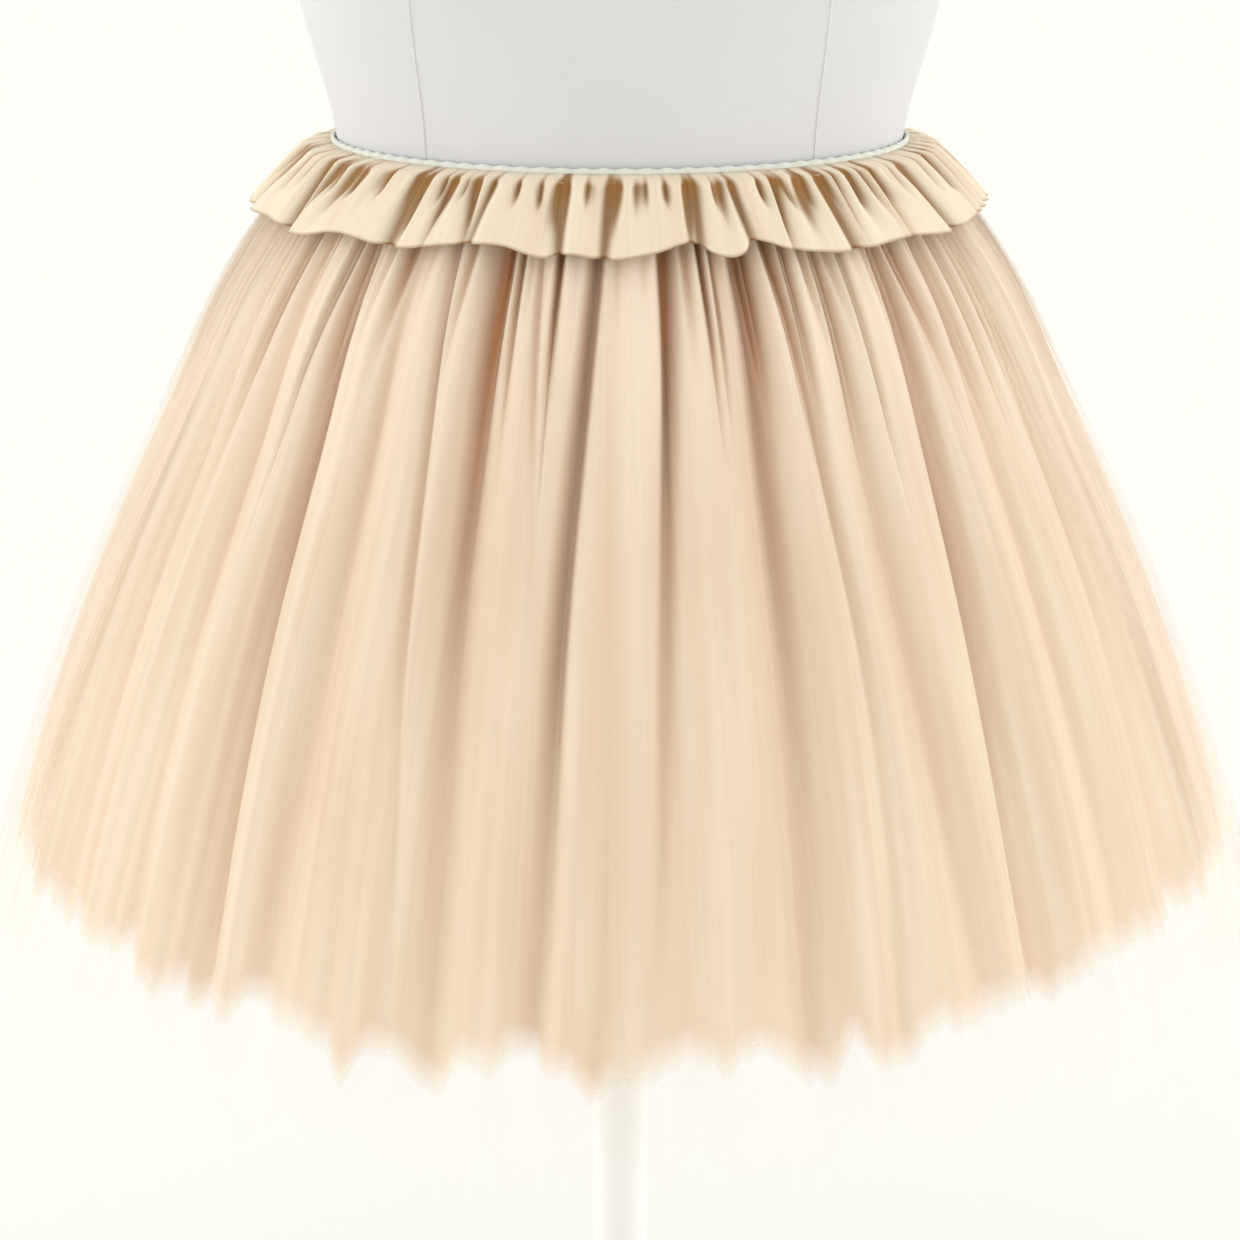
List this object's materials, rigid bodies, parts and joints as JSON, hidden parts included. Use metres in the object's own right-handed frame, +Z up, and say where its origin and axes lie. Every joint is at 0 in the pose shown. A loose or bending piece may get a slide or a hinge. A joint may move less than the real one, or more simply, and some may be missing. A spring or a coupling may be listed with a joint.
{
  "type": "tulle skirt on a dress form",
  "caption": "Short gathered tulle skirt with an elastic waist and a ruffled heading, worn by a limbless dress form on a post and a round base plate.",
  "frame": {"origin": "centre of the base plate's underside, on the floor, below the middle of the post", "axes": "+Z up, the skirt's front faces -Y, +X is to the right as seen from the front"},
  "size_m": [0.5776, 0.5219, 1.1473],
  "materials": {
    "tulle": "champagne tulle net, sheer, fine vertical streaks, matte",
    "satin": "champagne satin, soft sheen",
    "elastic": "off-white woven elastic, matte",
    "form_cover": "pale grey jersey cover, matte, with thin seams",
    "stand_paint": "off-white satin paint"
  },
  "bodies": {
    "root": {"tulle_outer_front": "tulle", "tulle_outer_back": "tulle", "tulle_inner_front": "tulle", "tulle_inner_back": "tulle", "underskirt_front": "satin", "underskirt_back": "satin", "ruffle_front": "satin", "ruffle_back": "satin", "waistband": "elastic", "form_torso": "form_cover", "form_neck_cap": "stand_paint", "stand_post": "stand_paint", "stand_base": "stand_paint"}
  },
  "joints": []
}
